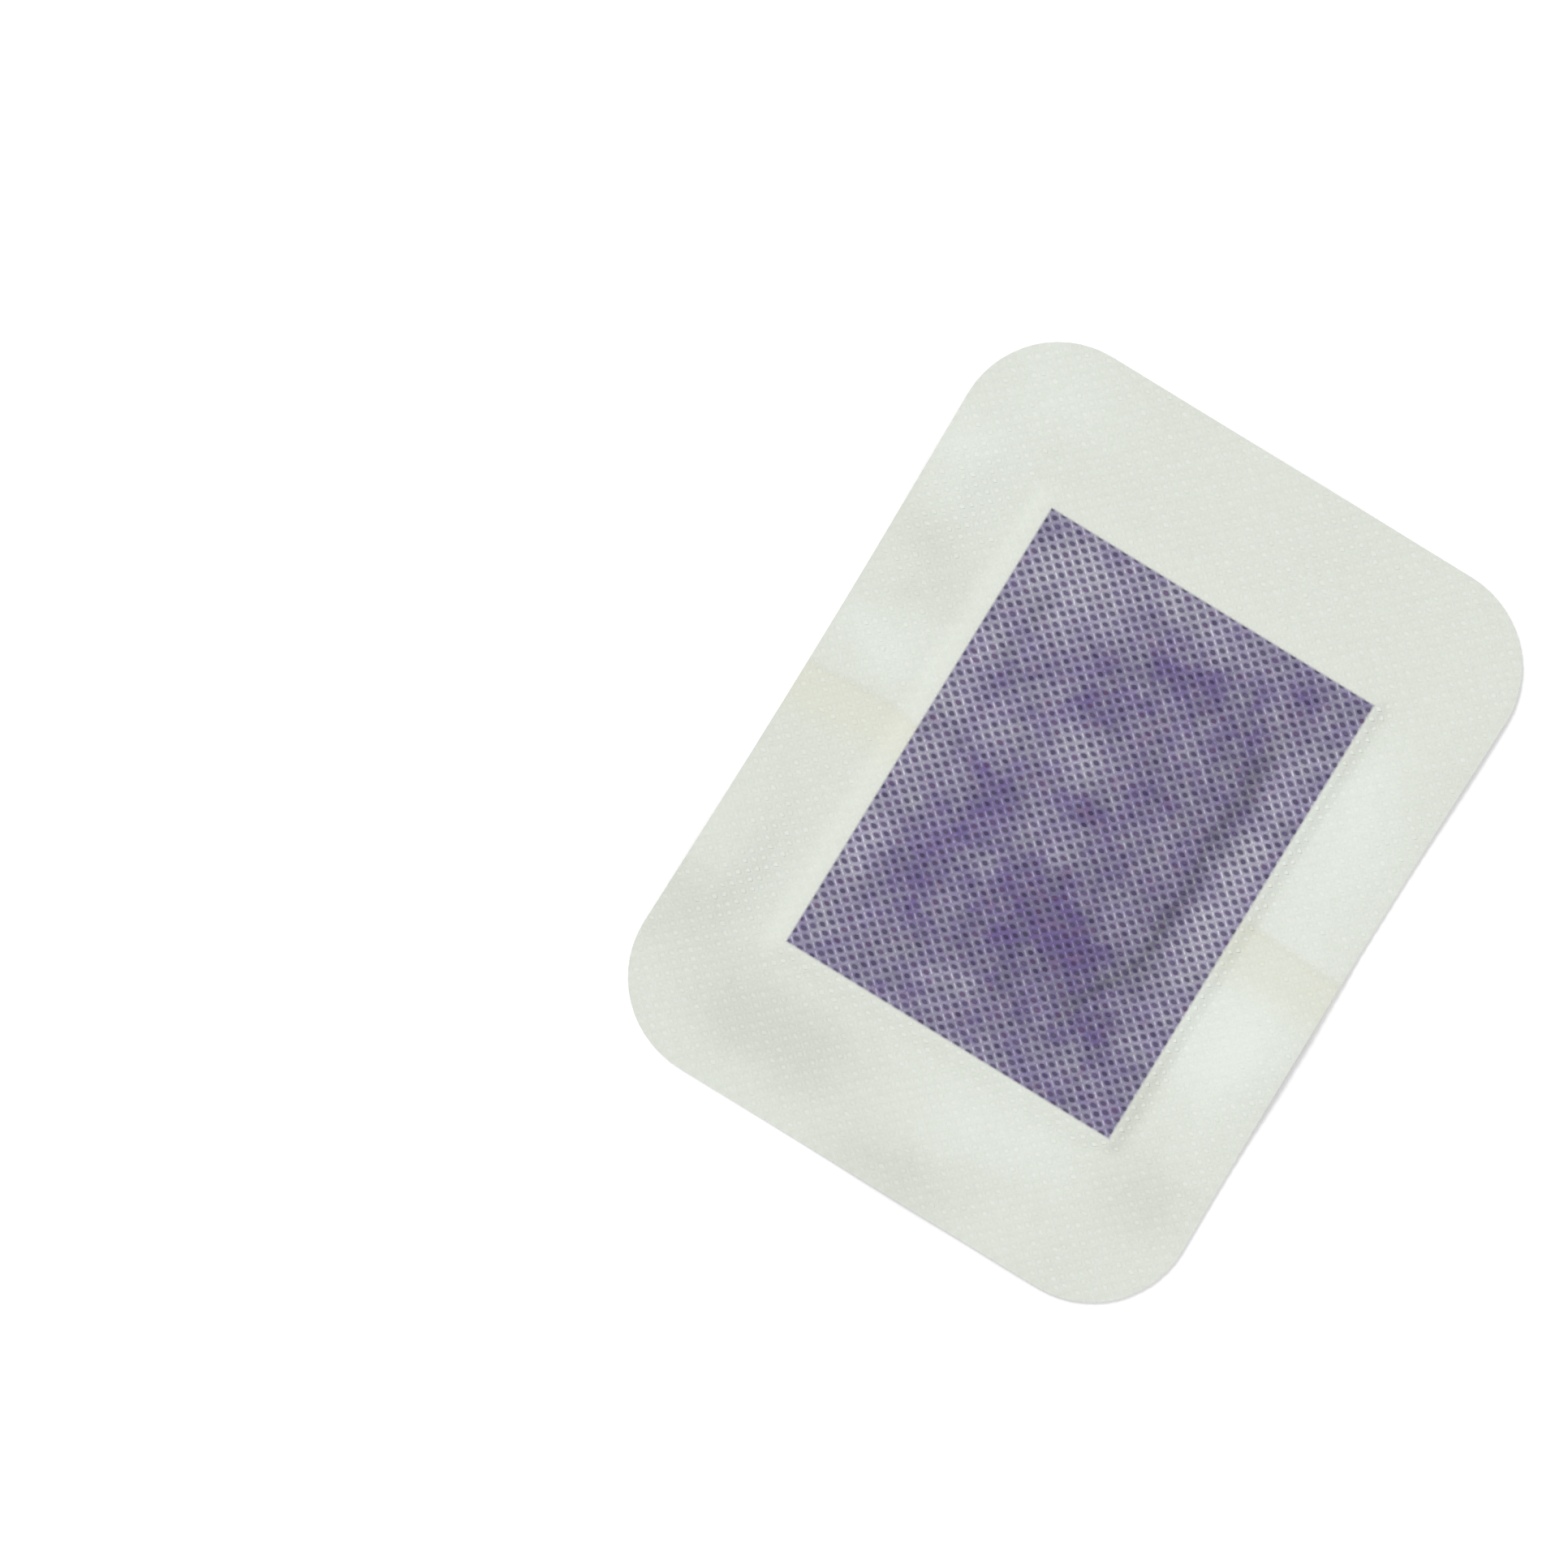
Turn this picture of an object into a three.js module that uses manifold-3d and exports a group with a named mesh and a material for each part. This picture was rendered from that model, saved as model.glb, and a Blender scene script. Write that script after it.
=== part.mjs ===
// Foot detox pad: a dotted nonwoven cover, a sealed herb sachet stuck under it, and a release liner
// in two halves on the back. Millimetres, +Z up. The pad lies on its liner with the cover on top.
// X runs across the pad and Y along it. The origin is under the middle, on the liner's lower face.
import * as THREE from 'three';
import { mergeVertices } from 'three/addons/utils/BufferGeometryUtils.js';
import Module from 'manifold-3d';

// Cover cloth
const coverWidth = 75.8;
const coverLength = 100;
const coverThickness = 0.3;
const cornerRadius = 12.6;
const sideDip = 0.4;

// Herb sachet: a flat sealed seam runs all round a filled belly
const sachetWidth = 45.4;
const sachetLength = 61;
const sachetShiftX = 0.6;
const sachetShiftY = 0.2;
const seamWidth = 6;
const seamThickness = 0.4;
const bellyHeight = 2.4;
const bellyRun = 11;

// Release liner: the long half ends in a flap that lies outside the short half
const linerThickness = 0.15;
const flapOverlap = 7.4;
const flapRamp = 4;

// How the layers lie on each other
const plyGap = 0.02;
const shoulderWidth = 2.2;

// Fineness of the faceted surfaces
const marginPitch = 9;
const shoulderPitch = 0.75;
const seamPitch = 2.2;
const bellyPitch = 2.2;
const cornerSteps = 16;
const cutMargin = 1;
const mergeReach = 1e-5;

const sachet = {
  left: sachetShiftX - sachetWidth / 2,
  right: sachetShiftX + sachetWidth / 2,
  foot: sachetShiftY - sachetLength / 2,
  head: sachetShiftY + sachetLength / 2,
};

// One thickness of liner everywhere, and two where the flap covers the short half's edge at the middle
const flapStep = linerThickness + plyGap;
const flapEdge = -flapOverlap;
const shortEdge = 0;

const clamp = (value) => THREE.MathUtils.clamp(value, 0, 1);

// Share of the second liner thickness under a point: all of it over the flap, ramped away on each side
const flapShare = (y) => {
  const beyondShortEdge = clamp(1 - (y - shortEdge) / flapRamp);
  const beyondFlapEdge = clamp(1 - (flapEdge - y) / flapRamp);
  return Math.min(beyondShortEdge, beyondFlapEdge);
};
const linerTop = (y) => linerThickness + flapStep * flapShare(y);

// The belly climbs from the seam's inner line in a parabola, so that it meets the seam at a crease
const climb = (inward) => 1 - (1 - clamp((inward - seamWidth) / bellyRun)) ** 2;
const sachetThickness = (x, y) => {
  const fromSide = Math.min(x - sachet.left, sachet.right - x);
  const fromEnd = Math.min(y - sachet.foot, sachet.head - y);
  return seamThickness + bellyHeight * climb(fromSide) * climb(fromEnd);
};
const sachetLow = (x, y) => linerTop(y) + plyGap;
const sachetHigh = (x, y) => sachetLow(x, y) + sachetThickness(x, y);

// Over the sachet the cover follows it, and past its edges it slopes down to the liner
const coverLow = (x, y) => {
  const besideX = Math.max(sachet.left - x, x - sachet.right, 0);
  const besideY = Math.max(sachet.foot - y, y - sachet.head, 0);
  const beside = Math.hypot(besideX, besideY);
  if (beside === 0) return sachetHigh(x, y) + plyGap;
  const fall = (1 + Math.cos(Math.PI * clamp(beside / shoulderWidth))) / 2;
  return linerTop(y) + plyGap + (seamThickness + plyGap) * fall;
};
const coverHigh = (x, y) => coverLow(x, y) + coverThickness;

// Grid lines through every stop, with lines between them no further apart than the stretch's pitch
function gridLines(stops) {
  const lines = [stops[0].at];
  for (const { at, pitch } of stops.slice(1)) {
    const from = lines[lines.length - 1];
    const steps = Math.ceil((at - from) / pitch);
    for (let step = 1; step < steps; step += 1) lines.push(from + ((at - from) * step) / steps);
    if (at > from) lines.push(at);
  }
  return lines;
}

// The stops across one direction of the cover, from one edge to the other
function coverStops(halfSpan, low, high, extras) {
  const stops = [
    { at: -halfSpan, pitch: marginPitch },
    { at: low - shoulderWidth, pitch: marginPitch },
    { at: low, pitch: shoulderPitch },
    { at: low + seamWidth, pitch: seamPitch },
    ...extras.map((at) => ({ at, pitch: bellyPitch })),
    { at: high - seamWidth, pitch: bellyPitch },
    { at: high, pitch: seamPitch },
    { at: high + shoulderWidth, pitch: shoulderPitch },
    { at: halfSpan, pitch: marginPitch },
  ];
  return stops.sort((a, b) => a.at - b.at);
}

const flapStops = [flapEdge - flapRamp, flapEdge, shortEdge, shortEdge + flapRamp];
const xLines = gridLines(coverStops(coverWidth / 2, sachet.left, sachet.right, []));
const yLines = gridLines(coverStops(coverLength / 2, sachet.foot, sachet.head, flapStops));

const within = (lines, from, to) => lines.filter((at) => at >= from && at <= to);

// A closed sheet between two height functions, over a grid of lines
function sheetGeometry(xs, ys, low, high) {
  const positions = [];
  for (const height of [low, high]) {
    for (const y of ys) {
      for (const x of xs) positions.push(x, y, height(x, y));
    }
  }
  const under = (column, row) => column + row * xs.length;
  const over = (column, row) => under(column, row) + xs.length * ys.length;
  const index = [];
  const quad = (a, b, c, d) => index.push(a, b, c, a, c, d);
  const lastColumn = xs.length - 1;
  const lastRow = ys.length - 1;
  for (let row = 0; row < lastRow; row += 1) {
    for (let column = 0; column < lastColumn; column += 1) {
      const right = column + 1;
      const next = row + 1;
      quad(over(column, row), over(right, row), over(right, next), over(column, next));
      quad(under(right, next), under(right, row), under(column, row), under(column, next));
    }
  }
  for (let column = 0; column < lastColumn; column += 1) {
    const right = column + 1;
    quad(under(column, 0), under(right, 0), over(right, 0), over(column, 0));
    quad(under(right, lastRow), under(column, lastRow), over(column, lastRow), over(right, lastRow));
  }
  for (let row = 0; row < lastRow; row += 1) {
    const next = row + 1;
    quad(under(0, next), under(0, row), over(0, row), over(0, next));
    quad(under(lastColumn, row), under(lastColumn, next), over(lastColumn, next), over(lastColumn, row));
  }
  const geometry = new THREE.BufferGeometry();
  geometry.setAttribute('position', new THREE.Float32BufferAttribute(positions, 3));
  geometry.setIndex(index);
  return geometry;
}

// The die-cut outline as a tall prism: a rectangle with round corners, its long sides pulled in a
// little at their middles, where a quadratic curve dips half as far as its control point
function outlinePrism(height) {
  const radius = cornerRadius;
  const x = coverWidth / 2;
  const y = coverLength / 2;
  const shape = new THREE.Shape();
  shape.moveTo(radius - x, -y);
  shape.lineTo(x - radius, -y);
  shape.absarc(x - radius, radius - y, radius, -Math.PI / 2, 0);
  shape.quadraticCurveTo(x - 2 * sideDip, 0, x, y - radius);
  shape.absarc(x - radius, y - radius, radius, 0, Math.PI / 2);
  shape.lineTo(radius - x, y);
  shape.absarc(radius - x, y - radius, radius, Math.PI / 2, Math.PI);
  shape.quadraticCurveTo(2 * sideDip - x, 0, -x, radius - y);
  shape.absarc(radius - x, radius - y, radius, Math.PI, 1.5 * Math.PI);
  const prism = new THREE.ExtrudeGeometry(shape, {
    depth: height + 2 * cutMargin,
    bevelEnabled: false,
    curveSegments: cornerSteps,
  });
  return prism.translate(0, 0, -cutMargin);
}

const wasm = await Module();
wasm.setup();

function toSolid(geometry) {
  const bare = geometry.clone();
  bare.deleteAttribute('normal');
  bare.deleteAttribute('uv');
  const merged = mergeVertices(bare, mergeReach);
  return new wasm.Manifold(new wasm.Mesh({
    numProp: 3,
    vertProperties: new Float32Array(merged.attributes.position.array),
    triVerts: new Uint32Array(merged.index.array),
  }));
}

function toGeometry(solid) {
  const mesh = solid.getMesh();
  const geometry = new THREE.BufferGeometry();
  geometry.setAttribute('position', new THREE.Float32BufferAttribute(mesh.vertProperties, 3));
  geometry.setIndex(new THREE.BufferAttribute(mesh.triVerts, 1));
  geometry.computeVertexNormals();
  return geometry;
}

const stackHeight = linerThickness + flapStep + seamThickness + bellyHeight + coverThickness + 2 * plyGap;

function dieCut(geometry) {
  const prism = toSolid(outlinePrism(stackHeight));
  return toGeometry(toSolid(geometry).intersect(prism));
}

const materials = {
  cover: new THREE.MeshStandardMaterial({
    color: 0xe4e8e1,
    roughness: 0.85,
    metalness: 0,
    transparent: true,
    opacity: 0.6,
  }),
  sachet: new THREE.MeshStandardMaterial({ color: 0x5d5068, roughness: 0.8, metalness: 0 }),
  liner: new THREE.MeshStandardMaterial({ color: 0xe2e6dd, roughness: 0.45, metalness: 0 }),
};

function piece(name, geometry, material) {
  const mesh = new THREE.Mesh(geometry, material);
  mesh.name = name;
  return mesh;
}

const pad = new THREE.Group();

// Cover cloth: one sheet, die-cut, drawn over the sachet
pad.add(piece(
  'cover_cloth',
  dieCut(sheetGeometry(xLines, yLines, coverLow, coverHigh)),
  materials.cover,
));

// Herb sachet: two plies sealed together round the edge, with the powder between them
const sachetXs = within(xLines, sachet.left, sachet.right);
const sachetYs = within(yLines, sachet.foot, sachet.head);
pad.add(piece(
  'herb_sachet',
  sheetGeometry(sachetXs, sachetYs, sachetLow, sachetHigh),
  materials.sachet,
));

// Release liner: the long half lies flat on the ground, and the short half climbs onto its flap
const linerXs = [-coverWidth / 2, coverWidth / 2];
pad.add(piece(
  'liner_long',
  dieCut(sheetGeometry(linerXs, [flapEdge, coverLength / 2], () => 0, () => linerThickness)),
  materials.liner,
));
pad.add(piece(
  'liner_short',
  dieCut(
    sheetGeometry(
      linerXs,
      [-coverLength / 2, flapEdge - flapRamp, flapEdge, shortEdge],
      (x, y) => linerTop(y) - linerThickness,
      (x, y) => linerTop(y),
    ),
  ),
  materials.liner,
));

export default pad;
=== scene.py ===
"""The looks of the foot pad: a dotted cover cloth, the herb sachet under it and the split release liner."""
import math

import bmesh
import bpy
import numpy as np
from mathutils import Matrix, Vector
from mathutils.bvhtree import BVHTree


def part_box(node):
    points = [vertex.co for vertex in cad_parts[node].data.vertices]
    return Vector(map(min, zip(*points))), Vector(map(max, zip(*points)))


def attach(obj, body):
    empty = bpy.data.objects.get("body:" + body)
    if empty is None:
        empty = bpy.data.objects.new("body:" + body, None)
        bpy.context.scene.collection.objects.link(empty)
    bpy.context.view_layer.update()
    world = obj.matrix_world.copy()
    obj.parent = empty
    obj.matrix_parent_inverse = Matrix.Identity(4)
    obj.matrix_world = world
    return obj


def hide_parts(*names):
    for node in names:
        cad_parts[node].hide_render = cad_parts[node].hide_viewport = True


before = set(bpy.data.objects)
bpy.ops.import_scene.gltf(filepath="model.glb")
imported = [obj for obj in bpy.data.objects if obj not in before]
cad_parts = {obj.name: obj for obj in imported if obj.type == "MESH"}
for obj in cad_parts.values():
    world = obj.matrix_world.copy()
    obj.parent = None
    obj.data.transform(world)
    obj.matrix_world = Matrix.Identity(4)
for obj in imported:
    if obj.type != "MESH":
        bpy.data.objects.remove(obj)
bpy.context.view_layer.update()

MM = 0.001
scene = bpy.context.scene

# Places and sizes that the frame gives, in millimetres
cover_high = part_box("cover_cloth")[1] / MM
sachet_low, sachet_high = (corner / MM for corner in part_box("herb_sachet"))
long_low, long_high = (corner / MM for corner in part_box("liner_long"))
short_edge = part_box("liner_short")[1].y / MM
flap_edge = long_low.y
liner_thickness = long_high.z - long_low.z
half_width = cover_high.x
half_length = cover_high.y
sachet_top = sachet_high.z

# Sizes of the real pad, in millimetres
corner_radius = 12.6
side_dip = 0.4
cloth_thickness = 0.3
ply_gap = 0.02
seam_width = 6.0
seam_thickness = 0.4
belly_run = 11.0
seam_rib_pitch = 1.0
shoulder_width = 2.2
soft_shoulder_width = 3.4
flap_ramp = 4.0
flap_step = liner_thickness + ply_gap

# The staggered bond points of the cloth, in millimetres
bond_across = 1.70
bond_along = 1.56
bond_phase_x = sachet_high.x - 0.26
bond_phase_y = sachet_high.y - 0.80
bond_columns = 48
bond_rows = 68
bond_radius = 0.36
bond_waist = 0.80
bond_flatness = 1.5
bond_thickness = 0.08
bond_sunk = 0.025
bond_jitter_across = 0.08
bond_jitter_along = 0.06
weld_reach = 0.001

# Least and most shares of the bond points' size, and turns in radians
bond_size_least = (0.90, 0.56, 1.0)
bond_size_most = (1.28, 0.84, 1.0)
bond_turn_least = (-0.05, -0.05, -0.30)
bond_turn_most = (0.05, 0.05, 0.10)

# The dimples of the cloth at the bond points, in millimetres
dimple_radius = 0.62
dimple_depth = 0.075
fluff_height = 0.006

# How fine the meshes are: cells to a bond point, pitches in millimetres, and a hair for safe margins
cells_per_bond = 4
sachet_pitch = 1.2
liner_pitch = 1.4
hair = 0.01

belly_height = sachet_top - seam_thickness - (liner_thickness + flap_step + ply_gap)

# Gentle swells of the margins: place, height and reach, in millimetres. They start outside the sachet.
swells = (
    (-33.0, -26.0, 0.75, 9.0),
    (-35.0, 29.0, 0.55, 8.0),
    (34.0, -13.0, 0.50, 9.0),
    (6.0, -46.0, 0.45, 10.0),
    (22.0, -47.0, 0.35, 6.0),
    (33.0, 30.0, 0.30, 10.0),
    (4.0, 46.0, 0.30, 9.0),
)
swell_start = 3.0
swell_full = 11.0


def smooth(value, low, high):
    """A soft step from 0 at low to 1 at high."""
    share = np.clip((value - low) / (high - low), 0.0, 1.0)
    return share * share * (3.0 - 2.0 * share)


def beside_sachet(x, y):
    """How far a point lies outside the sachet's rectangle."""
    past_x = np.maximum(np.maximum(sachet_low.x - x, x - sachet_high.x), 0.0)
    past_y = np.maximum(np.maximum(sachet_low.y - y, y - sachet_high.y), 0.0)
    return np.hypot(past_x, past_y)


def swell_height(x, y):
    """How far the margins lift off the ground."""
    lift = np.zeros_like(x)
    for at_x, at_y, height, reach in swells:
        lift += height * np.exp(-((x - at_x) ** 2 + (y - at_y) ** 2) / reach**2)
    return lift * smooth(beside_sachet(x, y), swell_start, swell_full)


def flap_share(y):
    """The share of the second liner thickness under a point."""
    past_short_edge = np.clip(1.0 - (y - short_edge) / flap_ramp, 0.0, 1.0)
    past_flap_edge = np.clip(1.0 - (flap_edge - y) / flap_ramp, 0.0, 1.0)
    return np.minimum(past_short_edge, past_flap_edge)


def liner_top(x, y):
    return swell_height(x, y) + liner_thickness + flap_step * flap_share(y)


def climb(inward):
    """The belly's rise from the seam's inner line."""
    return 1.0 - (1.0 - np.clip((inward - seam_width) / belly_run, 0.0, 1.0)) ** 2


def belly_rise(x, y):
    from_side = np.minimum(x - sachet_low.x, sachet_high.x - x)
    from_end = np.minimum(y - sachet_low.y, sachet_high.y - y)
    return climb(from_side) * climb(from_end)


# Meshes
def make_piece(name, points, faces, material, smooth_angle=50.0):
    """A mesh piece from points in millimetres."""
    mesh = bpy.data.meshes.new(name)
    mesh.from_pydata((np.asarray(points) * MM).tolist(), [], faces)
    mesh.polygons.foreach_set("use_smooth", [True] * len(mesh.polygons))
    mesh.set_sharp_from_angle(angle=math.radians(smooth_angle))
    mesh.materials.append(material)
    mesh.update()
    piece = bpy.data.objects.new(name, mesh)
    scene.collection.objects.link(piece)
    return piece


def grid_lines(low, high, pitch, phase, extras=()):
    """Lines at phase plus whole pitches between low and high, and the extras, with none crowded."""
    first = math.ceil((low - phase) / pitch)
    last = math.floor((high - phase) / pitch)
    fixed = sorted({low, high, *extras})
    crowded = 0.3 * pitch
    lines = [phase + step * pitch for step in range(first, last + 1)]
    lines = [line for line in lines if min(abs(line - at) for at in fixed) > crowded]
    return np.array(sorted(lines + fixed))


def corner_planes(steps=14):
    """Point and outward direction of each short chord round the four corners."""
    planes = []
    turn = math.pi / 2 / steps
    for side_x in (-1, 1):
        for side_y in (-1, 1):
            middle_x = side_x * (half_width - corner_radius)
            middle_y = side_y * (half_length - corner_radius)
            middle = Vector((middle_x, middle_y, 0.0))
            for step in range(steps):
                angle = (step + 0.5) * turn
                out = Vector((side_x * math.cos(angle), side_y * math.sin(angle), 0.0))
                chord = middle + out * corner_radius * math.cos(turn / 2)
                planes.append((chord, out, side_x, side_y))
    return planes


def die_cut(xs, ys):
    """The flat sheet over a grid, cut to the pad's outline: its points (x, y) and its faces."""
    columns = len(xs)
    points = [(x, y, 0.0) for y in ys for x in xs]
    faces = [
        (a, a + 1, a + columns + 1, a + columns)
        for row in range(len(ys) - 1)
        for a in range(row * columns, row * columns + columns - 1)
    ]
    mesh = bpy.data.meshes.new("flat")
    mesh.from_pydata(points, [], faces)
    sheet = bmesh.new()
    sheet.from_mesh(mesh)
    bpy.data.meshes.remove(mesh)
    start_x = half_width - corner_radius - hair
    start_y = half_length - corner_radius - hair
    for point, out, side_x, side_y in corner_planes():
        near = [v for v in sheet.verts if v.co.x * side_x > start_x and v.co.y * side_y > start_y]
        if not near:
            continue
        edges = {edge for v in near for edge in v.link_edges}
        cells = {face for v in near for face in v.link_faces}
        bmesh.ops.bisect_plane(
            sheet,
            geom=[*near, *edges, *cells],
            dist=1e-5,
            plane_co=point,
            plane_no=out,
            clear_outer=True,
        )
    sheet.verts.index_update()
    flat = np.array([(v.co.x, v.co.y) for v in sheet.verts])
    cut_faces = [tuple(v.index for v in face.verts) for face in sheet.faces]
    sheet.free()
    straight = half_length - corner_radius
    dip = side_dip * np.clip(1.0 - (flat[:, 1] / straight) ** 2, 0.0, 1.0)
    # Only the margin beside each long side is drawn in, and the middle stays where it is
    drawn_in_from = 0.65 * half_width
    share = smooth(np.abs(flat[:, 0]), drawn_in_from, half_width)
    flat[:, 0] -= np.sign(flat[:, 0]) * dip * share
    return flat, cut_faces


def shell(name, flat, faces, low, high, material):
    """A closed thin sheet: the same faces twice, at the two heights, joined round the rim."""
    count = len(flat)
    points = np.vstack([np.column_stack([flat, high]), np.column_stack([flat, low])])
    rim = {}
    for face in faces:
        for a, b in zip(face, face[1:] + face[:1]):
            if (b, a) in rim:
                del rim[(b, a)]
            else:
                rim[(a, b)] = True
    walls = [(b, a, a + count, b + count) for a, b in rim]
    under = [tuple(i + count for i in reversed(face)) for face in faces]
    return make_piece(name, points, faces + under + walls, material)


# Shader building
def paint(red, green, blue):
    """A colour as it looks on a screen, 0 to 255 a channel, as the shader's linear colour."""
    shares = (channel / 255 for channel in (red, green, blue))
    linear = [share / 12.92 if share <= 0.04045 else ((share + 0.055) / 1.055) ** 2.4 for share in shares]
    return (*linear, 1.0)


# The white cloth over the liner
# The cool tone is painted light and the warm tone is painted shade, for the slopes of the margin waves
lit_cool_cloth = paint(229, 234, 226)
shaded_warm_cloth = paint(212, 215, 205)
cloth_over_band = paint(221, 222, 205)
# Painted shadow along the short liner's edge under the cloth
lip_shadow_cloth = paint(205, 204, 190)
# Painted highlight on the ridges of the white cloth
thread_highlight = paint(236, 239, 233)
# Painted glint on the bond points of the white cloth
bond_glint = paint(238, 241, 236)

# The sachet as it shows through the cloth, and the loose fibres over it
violet_herb = paint(97, 81, 134)
grey_herb = paint(112, 110, 130)
wine_herb = paint(114, 90, 127)
# Painted shade in the crease by the right seam
valley_shade_herb = paint(86, 88, 96)
bare_herb = paint(76, 65, 102)
loose_fibre = paint(217, 214, 227)

# The bond points over the sachet
dark_bond = paint(52, 42, 76)
light_bond = paint(88, 77, 110)
wine_bond = paint(96, 62, 102)
slate_bond = paint(70, 70, 88)
veiled_bond = paint(150, 145, 164)
# Painted shade in the crease by the right seam
valley_shade_bond = paint(58, 49, 76)

# The release liner, plain, doubled, and with the sachet behind it
shaded_liner = paint(225, 231, 226)
bright_liner = paint(231, 236, 232)
doubled_liner = paint(225, 228, 217)
loose_over_sachet = paint(222, 226, 223)
stuck_over_sachet = paint(202, 204, 207)
doubled_over_sachet = paint(224, 226, 219)
liner_over_seam = paint(199, 202, 204)
flap_shade = paint(150, 150, 147)

# The sachet's own cloth
sachet_cloth = paint(88, 77, 106)
sachet_powder = paint(66, 60, 74)
sachet_bond = paint(54, 47, 62)
sachet_seam = paint(108, 98, 124)
sachet_rib = paint(64, 56, 76)


class Nodes:
    """Short calls for building a node tree."""

    def __init__(self, tree):
        self.tree = tree

    def add(self, kind, **settings):
        node = self.tree.nodes.new(kind)
        for name, value in settings.items():
            setattr(node, name, value)
        return node

    def put(self, node, key, value):
        if value is None:
            return
        if isinstance(value, bpy.types.NodeSocket):
            self.tree.links.new(value, node.inputs[key])
        else:
            node.inputs[key].default_value = value

    def math(self, operation, a, b=None, c=None, clamp=False):
        node = self.add("ShaderNodeMath", operation=operation, use_clamp=clamp)
        for key, value in enumerate((a, b, c)):
            self.put(node, key, value)
        return node.outputs[0]

    def vector(self, operation, a, b=None, scale=None):
        node = self.add("ShaderNodeVectorMath", operation=operation)
        self.put(node, 0, a)
        self.put(node, 1, b)
        if scale is not None:
            self.put(node, "Scale", scale)
        return node.outputs["Value" if operation in ("LENGTH", "DOT_PRODUCT", "DISTANCE") else "Vector"]

    def step(self, value, low, high, to_low=0.0, to_high=1.0):
        node = self.add("ShaderNodeMapRange", interpolation_type="SMOOTHSTEP")
        for key, given in enumerate((value, low, high, to_low, to_high)):
            self.put(node, key, given)
        return node.outputs["Result"]

    def patches(self, flat, spots):
        """The sum of soft patches, each with its place, its reaches across and along, and its strength."""
        total = None
        for at_x, at_y, reach_x, reach_y, strength in spots:
            off = self.vector("SUBTRACT", flat, (at_x, at_y, 0.0))
            off = self.vector("DIVIDE", off, (reach_x, reach_y, 1.0))
            patch = self.step(self.vector("LENGTH", off), 0.0, 1.3, strength, 0.0)
            total = patch if total is None else self.math("ADD", total, patch)
        return total

    def warp(self, place, scale, reach):
        """The same place flattened and nudged about by noise, so that what follows it looks grown."""
        flat = self.vector("MULTIPLY", place, (1.0, 1.0, 0.0))
        noise = self.add("ShaderNodeTexNoise")
        self.put(noise, "Vector", flat)
        self.put(noise, "Scale", scale)
        nudge = self.vector("SUBTRACT", noise.outputs["Color"], (0.5, 0.5, 0.5))
        return self.vector("ADD", flat, self.vector("MULTIPLY", nudge, (reach, reach, 0.0)))

    def mix(self, share, a, b):
        node = self.add("ShaderNodeMix", data_type="RGBA", blend_type="MIX")
        self.put(node, 0, share)
        self.put(node, 6, a)
        self.put(node, 7, b)
        return node.outputs[2]

    def noise(self, place, scale, detail=2.0, roughness=0.5, stretch=None, shift=None):
        if stretch is not None or shift is not None:
            mapping = self.add("ShaderNodeMapping")
            self.put(mapping, "Vector", place)
            self.put(mapping, "Scale", stretch or (1, 1, 1))
            self.put(mapping, "Location", shift or (0, 0, 0))
            place = mapping.outputs[0]
        node = self.add("ShaderNodeTexNoise")
        self.put(node, "Vector", place)
        self.put(node, "Scale", scale)
        self.put(node, "Detail", detail)
        self.put(node, "Roughness", roughness)
        return node.outputs["Fac"]

    def bump(self, shader, strength, depth, height):
        """Relief on the shader's surface, from a height and a depth in millimetres."""
        node = self.add("ShaderNodeBump")
        self.put(node, "Strength", strength)
        self.put(node, "Distance", depth * MM)
        self.put(node, "Height", height)
        self.put(shader, "Normal", node.outputs[0])

    def parts(self, vector):
        node = self.add("ShaderNodeSeparateXYZ")
        self.put(node, 0, vector)
        return node.outputs

    def group(self, tree, **values):
        node = self.add("ShaderNodeGroup", node_tree=tree)
        for name, value in values.items():
            self.put(node, name.replace("_", " "), value)
        return node.outputs


def new_group(name, inputs, outputs):
    """An empty shader node group with named sockets, its builder, its inputs and its output node."""
    tree = bpy.data.node_groups.new(name, "ShaderNodeTree")
    for socket, kind, value in inputs:
        made = tree.interface.new_socket(socket, in_out="INPUT", socket_type=kind)
        if value is not None:
            made.default_value = value
    for socket, kind in outputs:
        tree.interface.new_socket(socket, in_out="OUTPUT", socket_type=kind)
    build = Nodes(tree)
    return tree, build, build.add("NodeGroupInput").outputs, build.add("NodeGroupOutput")


def new_material(name):
    """A material, its node builder, its Principled shader, and its place in millimetres."""
    material = bpy.data.materials.new(name)
    material.use_nodes = True
    tree = material.node_tree
    build = Nodes(tree)
    shader = tree.nodes["Principled BSDF"]
    coordinates = build.add("ShaderNodeTexCoord")
    place = build.vector("SCALE", coordinates.outputs["Object"], scale=1 / MM)
    return material, build, shader, place


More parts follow.
